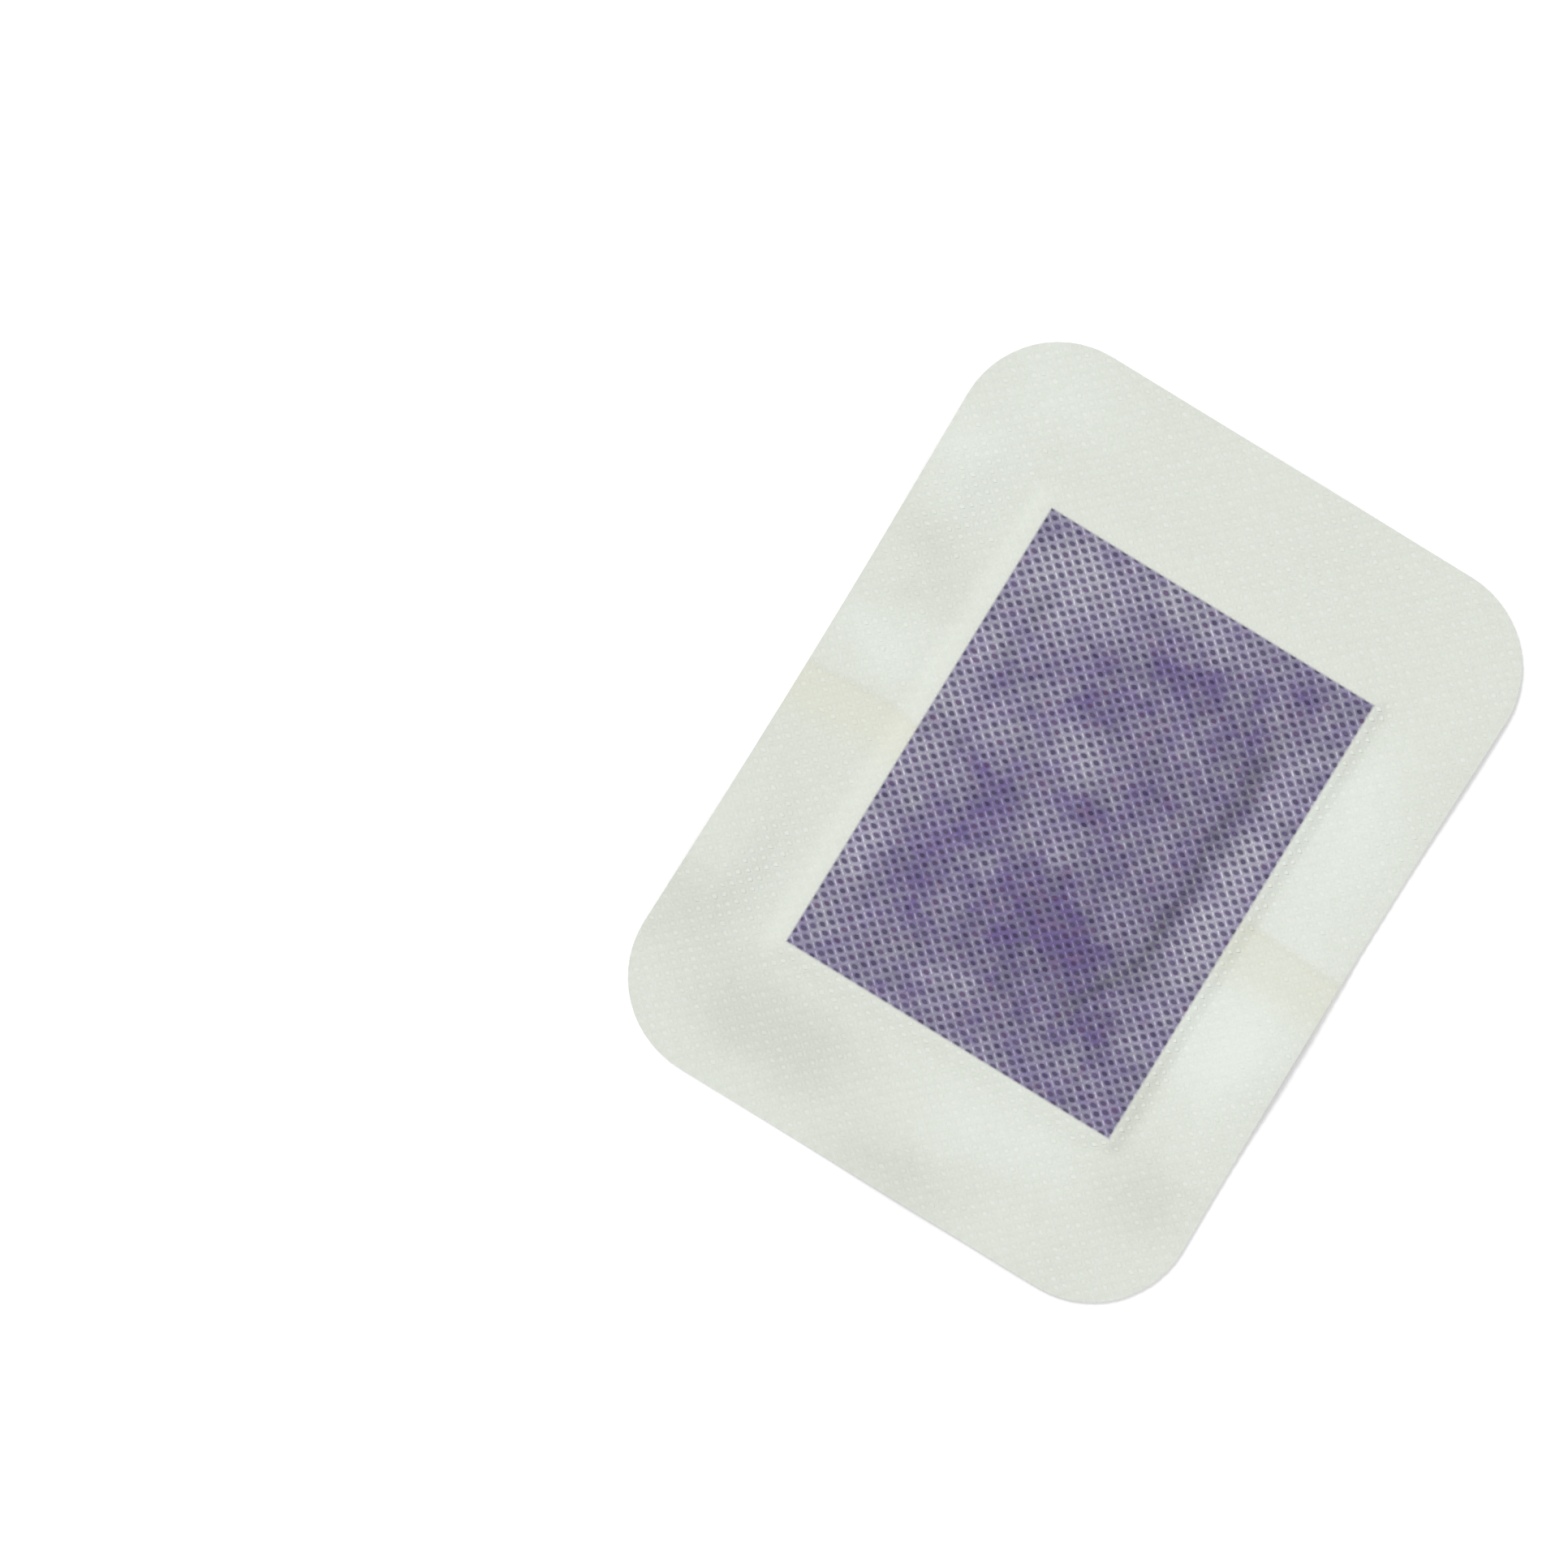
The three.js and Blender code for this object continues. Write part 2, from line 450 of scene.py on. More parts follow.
def bond_lattice_group():
    """Distance from the nearest bond point in millimetres, and the thin ridges between neighbours, partly
    real raised fibre and partly painted highlight.

    The distance grows faster along the pad than across it, as the bond points are flat lozenges."""
    tree, build, given, out = new_group(
        "bond_lattice",
        [("Place", "NodeSocketVector", None)],
        [("Distance", "NodeSocketFloat"), ("RidgeAndHighlight", "NodeSocketFloat")],
    )
    place = build.warp(given["Place"], 0.9, 0.16)
    centred = build.vector("SUBTRACT", place, (bond_phase_x, bond_phase_y, 0.0))
    cells = build.vector("DIVIDE", centred, (bond_across, bond_along, 1.0))
    found = []
    for shift in (0.5, 1.0):
        moved = build.vector("ADD", cells, (shift, shift, 0.0))
        within = build.vector("SUBTRACT", build.vector("FRACTION", moved), (0.5, 0.5, 0.5))
        off = build.vector("MULTIPLY", within, (bond_across, bond_along * bond_flatness, 0.0))
        found.append(build.vector("LENGTH", off))
    build.put(out, "Distance", build.math("MINIMUM", *found))
    # Along the two diagonals the bond points lie at whole numbers, and a ridge lies halfway between two
    x, y, _ = build.parts(cells)
    rising = build.math("FRACT", build.math("ADD", x, y))
    falling = build.math("FRACT", build.math("SUBTRACT", x, y))
    rising = build.math("ABSOLUTE", build.math("SUBTRACT", rising, 0.5))
    falling = build.math("ABSOLUTE", build.math("SUBTRACT", falling, 0.5))
    # The ridges carry painted highlight: one diagonal at full strength and the other at a fifth, for the
    # side the light falls on
    ridges = []
    for across, along, strength in ((rising, falling, 1.0), (falling, rising, 0.22)):
        crest = build.step(across, 0.02, 0.13, strength, 0.0)
        ridges.append(build.math("MULTIPLY", crest, build.step(along, 0.02, 0.26)))
    waver = build.step(build.noise(place, 1.1, 3.0, 0.7), 0.34, 0.62, 0.10, 1.0)
    build.put(out, "RidgeAndHighlight", build.math("MULTIPLY", build.math("MAXIMUM", *ridges), waver))
    return tree


def sachet_field_group():
    """How far inside the sachet's rectangle a point lies, and a mask with an edge as soft as asked."""
    tree, build, given, out = new_group(
        "sachet_field",
        [("Place", "NodeSocketVector", None), ("Softness", "NodeSocketFloat", 0.06)],
        [("Mask", "NodeSocketFloat"), ("Inside", "NodeSocketFloat")],
    )
    x, y, _ = build.parts(given["Place"])
    inside = None
    for at, low, high in ((x, sachet_low.x, sachet_high.x), (y, sachet_low.y, sachet_high.y)):
        from_low = build.math("SUBTRACT", at, low)
        from_high = build.math("SUBTRACT", high, at)
        nearest = build.math("MINIMUM", from_low, from_high)
        inside = nearest if inside is None else build.math("MINIMUM", inside, nearest)
    under = build.math("MULTIPLY", given["Softness"], -1.0)
    build.put(out, "Mask", build.step(inside, under, given["Softness"]))
    build.put(out, "Inside", inside)
    return tree


# The painted shade of the crease lies this far inside the sachet's right side, in millimetres
valley_x = sachet_high.x - 7.9

# Where loose fibres stand off the sachet, and where the cloth is stuck down on it, in millimetres:
# place, reach across and along, and strength
pale_patches = (
    (-15.0, 25.0, 9.0, 7.0, 0.46),
    (-20.3, 8.0, 3.2, 18.0, 0.30),
    (-20.2, -17.0, 3.4, 13.0, 0.36),
    (-14.0, 17.5, 4.0, 3.5, 0.14),
    (-4.0, 7.5, 4.5, 3.5, 0.32),
    (-14.0, 4.5, 3.5, 3.2, 0.32),
    (2.0, -3.0, 4.0, 2.8, 0.20),
    (-3.5, -23.8, 5.5, 3.0, 0.20),
    (20.3, 1.0, 3.6, 20.0, 0.48),
    (20.0, 21.0, 3.6, 5.0, 0.16),
    (0.0, 28.0, 13.0, 3.2, 0.30),
)
dark_patches = (
    (5.0, -14.0, 9.0, 5.5, 0.34),
    (7.0, -13.5, 4.5, 3.8, 0.16),
    (6.0, 8.5, 3.4, 5.5, 0.20),
    (2.5, 21.0, 6.0, 3.0, 0.34),
    (10.5, 20.0, 4.0, 4.5, 0.16),
    (-10.0, -2.5, 4.5, 6.5, 0.30),
    (-12.0, -13.0, 5.0, 9.0, 0.28),
    (-3.0, -16.5, 6.0, 5.5, 0.20),
    (14.0, -20.0, 4.5, 4.5, 0.20),
    (14.0, 28.3, 8.0, 2.0, 0.14),
    (-5.0, 15.0, 7.0, 4.5, 0.24),
    (-14.5, 10.0, 3.0, 4.0, 0.14),
    (0.5, -9.0, 6.0, 4.0, 0.24),
    (0.0, 2.0, 5.0, 2.8, 0.20),
    (5.5, -2.5, 4.0, 4.0, 0.16),
    (2.0, -21.0, 6.0, 3.5, 0.14),
)


def herb_tone_group():
    """The slow changes of tone of the sachet as it shows through the cloth, with painted shade in the
    crease by its right seam.
    """
    tree, build, given, out = new_group(
        "herb_tone",
        [("Place", "NodeSocketVector", None)],
        [("Color", "NodeSocketColor"), ("Veil", "NodeSocketFloat"), ("Depth", "NodeSocketFloat")],
    )
    place = given["Place"]
    x, y, _ = build.parts(place)
    drift = build.warp(place, 0.16, 4.0)
    lift = build.math("SUBTRACT", build.patches(drift, pale_patches), build.patches(drift, dark_patches))
    cloud = build.step(build.noise(place, 0.26, 4.0, 0.62, shift=(3.0, 9.0, 2.0)), 0.28, 0.72, -0.22, 0.22)
    crumb = build.step(build.noise(place, 0.9, 3.0, 0.6, shift=(1.0, 4.0, 7.0)), 0.28, 0.72, -0.13, 0.13)
    veil = build.math("ADD", build.math("MULTIPLY_ADD", lift, 1.25, 0.44), build.math("ADD", cloud, crumb))
    stain = build.step(build.noise(place, 0.34, 3.0, 0.6), 0.30, 0.70, -0.40, 0.40)
    hue = build.math("ADD", build.math("MULTIPLY_ADD", lift, 0.8, 0.48), stain, clamp=True)
    tone = build.mix(hue, violet_herb, grey_herb)
    spots = build.step(build.noise(place, 0.55, 2.0, 0.55, shift=(13.0, 5.0, 0.0)), 0.56, 0.72, 0.0, 0.6)
    tone = build.mix(spots, tone, wine_herb)
    # Painted shade in the crease where the belly meets the right seam: a dark line along the seam's inner
    # line that turns in at its foot
    waver = build.math("MULTIPLY", build.math("SUBTRACT", build.noise(place, 0.12, 1.0), 0.5), 3.0)
    turn_in = build.math("MULTIPLY", build.step(y, -8.0, -24.0), 6.0)
    line = build.math("SUBTRACT", build.math("ADD", waver, valley_x), turn_in)
    off = build.math("ABSOLUTE", build.math("SUBTRACT", x, line))
    along = build.math("MULTIPLY", build.step(y, -26.0, -14.0), build.step(y, 26.0, 12.0))
    core = build.step(off, 0.0, 1.1, 0.48, 0.0)
    valley_shade = build.math("MULTIPLY", build.math("ADD", core, build.step(off, 0.3, 2.6, 0.36, 0.0)), along)
    tone = build.mix(build.math("MULTIPLY", valley_shade, 0.7), tone, valley_shade_herb)
    veil = build.math("MAXIMUM", build.math("MULTIPLY_ADD", valley_shade, -0.20, veil), 0.06)
    hollow = build.step(lift, 0.0, -0.5, 0.0, 0.5)
    # Painted shade of the crease, with the hollows of the dark patches
    depth = build.math("ADD", build.math("MULTIPLY", valley_shade, 0.8), hollow, clamp=True)
    build.put(out, "Color", tone)
    build.put(out, "Veil", build.math("MINIMUM", veil, 1.0))
    build.put(out, "Depth", depth)
    return tree


# Painted shade in warm zones and painted light in cool zones of the white margins, standing in for the
# light on their gentle waves, in millimetres: place, reaches and strength
shaded_warm_zones = (
    (-17.5, -40.0, 14.0, 7.5, 0.70),
    (-36.0, -33.0, 9.0, 7.5, 0.42),
    (-34.0, -16.0, 8.0, 14.0, 0.12),
    (2.0, -47.0, 11.0, 5.5, 0.50),
    (31.0, -34.0, 9.0, 6.0, 0.40),
    (-32.0, 20.5, 7.0, 3.6, 0.30),
    (-27.5, 15.5, 6.0, 4.5, 0.26),
    (25.0, -24.0, 2.0, 8.0, 0.34),
)
lit_cool_zones = (
    (-31.5, 7.0, 8.0, 5.0, 0.34),
    (-33.0, 31.0, 8.0, 8.0, 0.35),
    (-28.0, 43.0, 11.0, 7.0, 0.26),
    (30.0, 12.0, 9.0, 14.0, 0.40),
    (27.0, 22.0, 4.5, 10.0, 0.22),
    (31.0, -11.0, 9.0, 16.0, 0.40),
    (27.0, -13.0, 5.0, 6.0, 0.30),
    (6.0, 38.0, 14.0, 7.0, 0.05),
    (12.0, -36.0, 14.0, 6.0, 0.30),
)


def backed_cloth_group():
    """The white cloth over the liner, with painted shade and painted light in warm and cool tints, the
    doubled liner showing as a warmer band, and a painted shadow line along the short liner's edge.
    """
    tree, build, given, out = new_group(
        "backed_cloth",
        [("Place", "NodeSocketVector", None), ("Cloud", "NodeSocketFloat", 0.5)],
        [("Color", "NodeSocketColor")],
    )
    place = given["Place"]
    drift = build.warp(place, 0.10, 9.0)
    # Painted shade in the warm zones and painted light in the cool zones, with some random warmth from the
    # cloud
    shade_and_warmth = build.math("SUBTRACT", build.patches(drift, shaded_warm_zones), build.patches(drift, lit_cool_zones))
    shade_and_warmth = build.math("ADD", shade_and_warmth, build.step(given["Cloud"], 0.25, 0.75, 0.54, 0.36), clamp=True)
    white = build.mix(shade_and_warmth, lit_cool_cloth, shaded_warm_cloth)
    y = build.parts(build.warp(place, 0.07, 2.6))["Y"]
    upper = build.step(y, short_edge + 0.9, short_edge - 0.6)
    lower = build.step(y, flap_edge - 1.2, flap_edge + 3.4)
    band = build.math("MULTIPLY", upper, lower)
    white = build.mix(build.math("MULTIPLY", band, 0.50), white, cloth_over_band)
    # A thin painted shadow line along the short liner's edge
    lip_shadow = build.step(build.math("ABSOLUTE", build.math("SUBTRACT", y, short_edge)), 0.1, 0.9, 0.16, 0.0)
    build.put(out, "Color", build.mix(lip_shadow, white, lip_shadow_cloth))
    return tree


def cloth_grain_group():
    """Fine crossing fibres and the cloudy thickness of spunbond cloth."""
    tree, build, given, out = new_group(
        "cloth_grain",
        [("Place", "NodeSocketVector", None)],
        [("Fibres", "NodeSocketFloat"), ("Cloud", "NodeSocketFloat")],
    )
    place = given["Place"]
    streaks = None
    for turn, shift in ((20.0, 0.0), (75.0, 7.0), (128.0, 15.0)):
        turned = build.add("ShaderNodeVectorRotate", rotation_type="Z_AXIS")
        build.put(turned, "Vector", place)
        build.put(turned, "Angle", math.radians(turn))
        along = {"stretch": (1.0, 7.0, 1.0), "shift": (shift, 0.0, 0.0)}
        layer = build.noise(turned.outputs[0], 1.3, 2.0, 0.6, **along)
        streaks = layer if streaks is None else build.math("MAXIMUM", streaks, layer)
    build.put(out, "Fibres", build.step(streaks, 0.50, 0.78))
    build.put(out, "Cloud", build.noise(place, 0.8, 4.0, 0.6))
    return tree


lattice = bond_lattice_group()
field = sachet_field_group()
herb_tone = herb_tone_group()
cloth_grain = cloth_grain_group()
backed_cloth = backed_cloth_group()


def cover_material():
    """White spunbond cloth with a purple field where the sachet lies under it."""
    material, build, shader, place = new_material("cover_cloth")
    bonds = build.group(lattice, Place=place)
    mask = build.group(field, Place=place, Softness=0.24)["Mask"]
    tone = build.group(herb_tone, Place=place)
    grain = build.group(cloth_grain, Place=place)
    # Over the sachet: bare and dark at the bond points, paler where loose fibres stand between them
    puff = build.step(bonds["Distance"], 0.32, 0.70)
    fluff = build.math("MULTIPLY", puff, build.math("MULTIPLY_ADD", grain["Fibres"], 0.75, 0.40))
    # Painted highlight on the ridges between bond points lightens the veil
    ridge_highlight = build.math("MULTIPLY", bonds["RidgeAndHighlight"], build.math("MULTIPLY_ADD", tone["Veil"], 0.42, 0.20))
    veil = build.math("MULTIPLY_ADD", fluff, build.math("MULTIPLY_ADD", tone["Veil"], 0.44, 0.03), ridge_highlight)
    veil = build.math("MULTIPLY_ADD", tone["Veil"], 0.17, veil, clamp=True)
    purple = build.mix(veil, tone["Color"], loose_fibre)
    bare = build.step(bonds["Distance"], 0.27, 0.44, 1.0, 0.0)
    bare = build.math("MULTIPLY", bare, build.math("MULTIPLY_ADD", tone["Veil"], -0.28, 0.88))
    purple = build.mix(bare, purple, bare_herb)
    white = build.group(backed_cloth, Place=place, Cloud=grain["Cloud"])["Color"]
    # Painted highlight on the ridges of the white cloth
    white = build.mix(build.math("MULTIPLY", bonds["RidgeAndHighlight"], 0.30), white, thread_highlight)
    build.put(shader, "Base Color", build.mix(mask, white, purple))
    build.put(shader, "Roughness", build.math("MULTIPLY_ADD", grain["Fibres"], 0.2, 0.68))
    build.put(shader, "Sheen Weight", 0.15)
    build.put(shader, "Sheen Roughness", 0.5)
    build.put(shader, "Specular IOR Level", 0.25)
    height = build.math("ADD", grain["Fibres"], build.math("MULTIPLY", puff, 0.5))
    build.bump(shader, 0.35, 0.06, build.math("ADD", height, bonds["RidgeAndHighlight"]))
    return material


def bond_material():
    """The bond points: fused film, dark where the sachet is stuck behind it, and white with a painted glint
    elsewhere.
    """
    material, build, shader, place = new_material("bond_points")
    mask = build.group(field, Place=place, Softness=0.16)["Mask"]
    tone = build.group(herb_tone, Place=place)
    grain = build.group(cloth_grain, Place=place)
    mark = build.add("ShaderNodeAttribute", attribute_name="bond_tone").outputs["Fac"]
    stain = build.add("ShaderNodeAttribute", attribute_name="bond_stain").outputs["Fac"]
    dark = build.mix(build.step(mark, 0.0, 1.0), dark_bond, light_bond)
    dark = build.mix(build.step(stain, 0.82, 0.98, 0.0, 0.6), dark, wine_bond)
    dark = build.mix(build.step(stain, 0.34, 0.05, 0.0, 0.6), dark, slate_bond)
    dark = build.mix(build.math("MULTIPLY", tone["Veil"], 0.24), dark, veiled_bond)
    # Painted shade of the crease darkens the bond points there
    dark = build.mix(build.math("MULTIPLY", tone["Depth"], 0.55), dark, valley_shade_bond)
    white = build.group(backed_cloth, Place=place, Cloud=grain["Cloud"])["Color"]
    # Painted glint: on the white cloth the bond points are painted a little lighter than the cloth
    pale_with_glint = build.mix(build.math("MULTIPLY_ADD", mark, 0.22, 0.04), white, bond_glint)
    build.put(shader, "Base Color", build.mix(mask, pale_with_glint, dark))
    build.put(shader, "Roughness", 0.48)
    build.put(shader, "Specular IOR Level", 0.3)
    build.bump(shader, 0.25, 0.03, build.noise(place, 6.0, 2.0))
    return material


# Where the liner stands off the sachet, so that less of it shows through, in millimetres
liner_bubbles = (
    (-8.0, 17.0, 13.0, 13.0, 1.1),
    (2.0, 1.0, 24.0, 5.0, 1.0),
    (13.0, -21.0, 10.0, 9.0, 0.8),
    (-15.0, -18.0, 6.0, 12.0, 0.5),
)


def liner_material():
    """Thin satin release paper, with the sachet and the doubled flap showing through."""
    material, build, shader, place = new_material("release_liner")
    y = build.parts(place)["Y"]
    mask = build.group(field, Place=place, Softness=0.9)["Mask"]
    cloud = build.noise(place, 0.12, 3.0, 0.55)
    plain = build.mix(build.step(cloud, 0.3, 0.7), shaded_liner, bright_liner)
    upper = build.step(y, flap_edge - 0.2, flap_edge + 0.2)
    lower = build.step(y, short_edge + 0.4, short_edge - 0.4)
    band = build.math("MULTIPLY", upper, lower)
    plain = build.mix(build.math("MULTIPLY", band, 0.6), plain, doubled_liner)
    drift = build.warp(place, 0.06, 9.0)
    bubbles = build.patches(drift, liner_bubbles)
    touch = build.step(build.noise(drift, 0.09, 1.0, 0.5, shift=(4.0, 7.0, 0.0)), 0.36, 0.64, 0.45, 1.0)
    touch = build.math("SUBTRACT", touch, bubbles, clamp=True)
    shown = build.mix(touch, loose_over_sachet, stuck_over_sachet)
    shown = build.mix(build.math("MULTIPLY", band, 0.6), shown, doubled_over_sachet)
    # The seam is stuck down flat all round, so it shows darker than the rest
    inside = build.group(field, Place=place)["Inside"]
    rim = build.math("MULTIPLY", build.step(inside, 4.5, 0.5), build.math("SUBTRACT", 1.0, band))
    shown = build.mix(build.math("MULTIPLY", rim, 0.5), shown, liner_over_seam)
    tone = build.mix(mask, plain, shown)
    # The free edge of the flap keeps a thin line of shade on the half that lies behind it
    near = build.step(y, flap_edge - 0.7, flap_edge)
    shade = build.math("MULTIPLY", near, build.step(y, flap_edge + 0.05, flap_edge))
    shade = build.math("MULTIPLY", shade, build.math("MULTIPLY_ADD", mask, 0.3, 0.1))
    build.put(shader, "Base Color", build.mix(shade, tone, flap_shade))
    build.put(shader, "Roughness", build.step(build.noise(place, 0.6, 3.0), 0.2, 0.8, 0.34, 0.46))
    build.put(shader, "Specular IOR Level", 0.45)
    build.bump(shader, 0.2, 0.04, build.noise(place, 0.9, 3.0))
    return material


def sachet_material():
    """The sachet's own dark nonwoven: powder in blotches, and a seam pressed into fine ribs all round."""
    material, build, shader, place = new_material("herb_sachet")
    distance = build.group(lattice, Place=place)["Distance"]
    inside = build.group(field, Place=place)["Inside"]
    seam = build.step(inside, seam_width + 0.3, seam_width - 0.3)
    blotch = build.step(build.noise(place, 0.5, 4.0, 0.6), 0.35, 0.65)
    tone = build.mix(blotch, sachet_cloth, sachet_powder)
    tone = build.mix(build.step(distance, 0.2, 0.6, 0.5, 0.0), tone, sachet_bond)
    rib = build.math("PINGPONG", inside, seam_rib_pitch / 2)
    ribs = build.math("MULTIPLY", build.step(rib, 0.1, seam_rib_pitch / 2 - 0.1), seam)
    tone = build.mix(build.math("MULTIPLY", seam, 0.55), tone, sachet_seam)
    tone = build.mix(build.math("MULTIPLY", ribs, 0.35), tone, sachet_rib)
    build.put(shader, "Base Color", tone)
    build.put(shader, "Roughness", build.math("MULTIPLY_ADD", seam, -0.2, 0.78))
    build.put(shader, "Sheen Weight", 0.2)
    height = build.math("ADD", build.noise(place, 1.6, 4.0, 0.6), distance)
    build.bump(shader, 0.5, 0.15, build.math("SUBTRACT", height, ribs))
    return material


def seen_itself(build):
    """1 for a ray that shows the surface itself, and 0 for one that only carries its light."""
    path = build.add("ShaderNodeLightPath").outputs
    mirrored = build.math("MAXIMUM", path["Is Glossy Ray"], path["Is Transmission Ray"])
    return build.math("MAXIMUM", path["Is Camera Ray"], mirrored)


def stage_material():
    """A plain white floor that the camera sees as white, and that keeps the pad's shadow."""
    material = bpy.data.materials.new("white_floor")
    material.use_nodes = True
    build = Nodes(material.node_tree)
    shader = material.node_tree.nodes["Principled BSDF"]
    build.put(shader, "Base Color", (0.9, 0.9, 0.9, 1.0))
    build.put(shader, "Roughness", 1.0)
    build.put(shader, "Specular IOR Level", 0.0)
    seen = seen_itself(build)
    build.put(shader, "Emission Color", (1.0, 1.0, 1.0, 1.0))
    build.put(shader, "Emission Strength", build.math("MULTIPLY", seen, 0.16))
    return material


# Herb sachet
def sachet_grid():
    """Even lines across and along the sachet."""
    across = round((sachet_high.x - sachet_low.x) / sachet_pitch)
    along = round((sachet_high.y - sachet_low.y) / sachet_pitch)
    xs = np.linspace(sachet_low.x, sachet_high.x, across + 1)
    ys = np.linspace(sachet_low.y, sachet_high.y, along + 1)
    return xs, ys


def inflated(points, faces, columns, rows):
    """The upper ply blown up by the powder: a cloth run at a larger scale, its seams held flat."""
    enlarge = 20.0
    solver_frames = 20
    mesh = bpy.data.meshes.new("sachet_blank")
    mesh.from_pydata((points * MM * enlarge).tolist(), [], faces)
    blank = bpy.data.objects.new("sachet_blank", mesh)
    scene.collection.objects.link(blank)
    held = blank.vertex_groups.new(name="held")
    count = columns * rows
    x, y = points[:count, 0], points[:count, 1]
    free = set(np.flatnonzero(belly_rise(x, y) > 0.0).tolist())
    held.add([i for i in range(len(points)) if i not in free], 1.0, "REPLACE")
    cloth = blank.modifiers.new("fill", "CLOTH")
    cloth.settings.quality = 6
    cloth.settings.mass = 0.25
    cloth.settings.tension_stiffness = 12.0
    cloth.settings.compression_stiffness = 12.0
    cloth.settings.bending_stiffness = 0.4
    cloth.settings.use_pressure = True
    cloth.settings.uniform_pressure_force = 5.0
    cloth.settings.vertex_group_mass = "held"
    cloth.settings.shrink_min = -0.05
    cloth.settings.effector_weights.gravity = 0.0
    cloth.collision_settings.use_collision = False
    for step in range(1, solver_frames + 1):
        scene.frame_set(step)
    shape = blank.evaluated_get(bpy.context.evaluated_depsgraph_get()).to_mesh()
    blown = np.empty(len(shape.vertices) * 3)
    shape.vertices.foreach_get("co", blown)
    blank.to_mesh_clear()
    scene.frame_set(1)
    bpy.data.objects.remove(blank)
    return blown.reshape(-1, 3) / (MM * enlarge)


def make_sachet(material):
    """Two plies sealed round the edge, the upper one over the powder."""
    xs, ys = sachet_grid()
    columns, rows = len(xs), len(ys)
    count = columns * rows
    grid_x, grid_y = (part.ravel() for part in np.meshgrid(xs, ys))
    rest = liner_top(grid_x, grid_y) + ply_gap
    rise = belly_rise(grid_x, grid_y)
    # The run starts from a belly that is partly full
    start_share = 0.7
    upper = rest + seam_thickness + start_share * belly_height * rise
    plies = [np.column_stack([grid_x, grid_y, height]) for height in (upper, rest)]
    points = np.vstack(plies)
    cells = [
        (a, a + 1, a + columns + 1, a + columns)
        for row in range(rows - 1)
        for a in range(row * columns, row * columns + columns - 1)
    ]
    low_cells = [tuple(i + count for i in reversed(cell)) for cell in cells]
    last = (rows - 1) * columns
    ring = [*range(columns), *range(2 * columns - 1, count, columns)]
    ring += [*range(count - 2, last - 1, -1), *range(last - columns, 0, -columns)]
    walls = [(b, a, a + count, b + count) for a, b in zip(ring, ring[1:] + ring[:1])]
    faces = cells + low_cells + walls
    blown = inflated(points, faces, columns, rows)[:count]
    lift = np.clip(blown[:, 2] - rest - seam_thickness, 0.0, None)
    lift /= lift.max()
    points[:count, 2] = rest + seam_thickness + belly_height * lift
    return make_piece("sachet", points, faces, material, smooth_angle=70.0)


def top_of(piece):
    """A function that gives the height of a piece's upper surface over points in millimetres."""
    mesh = piece.data
    places = [v.co for v in mesh.vertices]
    tree = BVHTree.FromPolygons(places, [tuple(p.vertices) for p in mesh.polygons])
    down = Vector((0.0, 0.0, -1.0))
    start_height = 0.05

    def height(x, y):
        found = []
        for at_x, at_y in zip(x, y):
            hit = tree.ray_cast(Vector((at_x * MM, at_y * MM, start_height)), down)[0]
            found.append(hit.z / MM if hit else math.nan)
        return np.array(found)

    return height


# Release liner
def make_liner(name, foot, head, low_at, material):
    """One half of the liner, cut to the pad's outline between foot and head."""
    extras = [at for at in (flap_edge - flap_ramp, flap_edge, short_edge) if foot < at < head]
    xs = grid_lines(-half_width, half_width, liner_pitch, 0.0)
    ys = grid_lines(foot, head, liner_pitch, 0.0, extras)
    flat, faces = die_cut(xs, ys)
    low = low_at(flat[:, 0], flat[:, 1])
    return shell(name, flat, faces, low, low + liner_thickness, material)


# Cover cloth
def bond_distance(x, y):
    """Distance from the nearest bond point."""
    found = []
    for shift in (0.5, 1.0):
        in_x = np.mod((x - bond_phase_x) / bond_across + shift, 1.0) - 0.5
        in_y = np.mod((y - bond_phase_y) / bond_along + shift, 1.0) - 0.5
        found.append(np.hypot(in_x * bond_across, in_y * bond_along))
    return np.minimum(*found)


def make_cover(sachet, material):
    """The cloth, drawn over the sachet and pressed in at every bond point."""
    pitch_x = bond_across / cells_per_bond
    pitch_y = bond_along / cells_per_bond
    xs = grid_lines(-half_width, half_width, pitch_x, bond_phase_x, (sachet_low.x, sachet_high.x))
    ys = grid_lines(-half_length, half_length, pitch_y, bond_phase_y, (sachet_low.y, sachet_high.y))
    flat, faces = die_cut(xs, ys)
    x, y = flat[:, 0], flat[:, 1]
    beside = beside_sachet(x, y)
    # The shoulder is steeper along the sachet's right side than elsewhere
    blend = 4.0
    right_share = smooth(x, sachet_high.x - blend, sachet_high.x)
    reach = soft_shoulder_width + (shoulder_width - soft_shoulder_width) * right_share
    fall = (1.0 + np.cos(np.pi * np.clip(beside / reach, 0.0, 1.0))) / 2.0
    low = liner_top(x, y) + ply_gap + (seam_thickness + ply_gap) * fall
    over = beside == 0.0
    over_x = np.clip(x[over], sachet_low.x + hair, sachet_high.x - hair)
    over_y = np.clip(y[over], sachet_low.y + hair, sachet_high.y - hair)
    low[over] = top_of(sachet)(over_x, over_y) + ply_gap
    share = np.clip(bond_distance(x, y) / dimple_radius, 0.0, 1.0)
    dimple = dimple_depth * (1.0 - share**2) ** 2
    rng = np.random.default_rng(11)
    fluff = rng.normal(0.0, fluff_height, len(x))
    high = low + cloth_thickness - dimple + fluff
    return shell("cover", flat, faces, low, high, material)


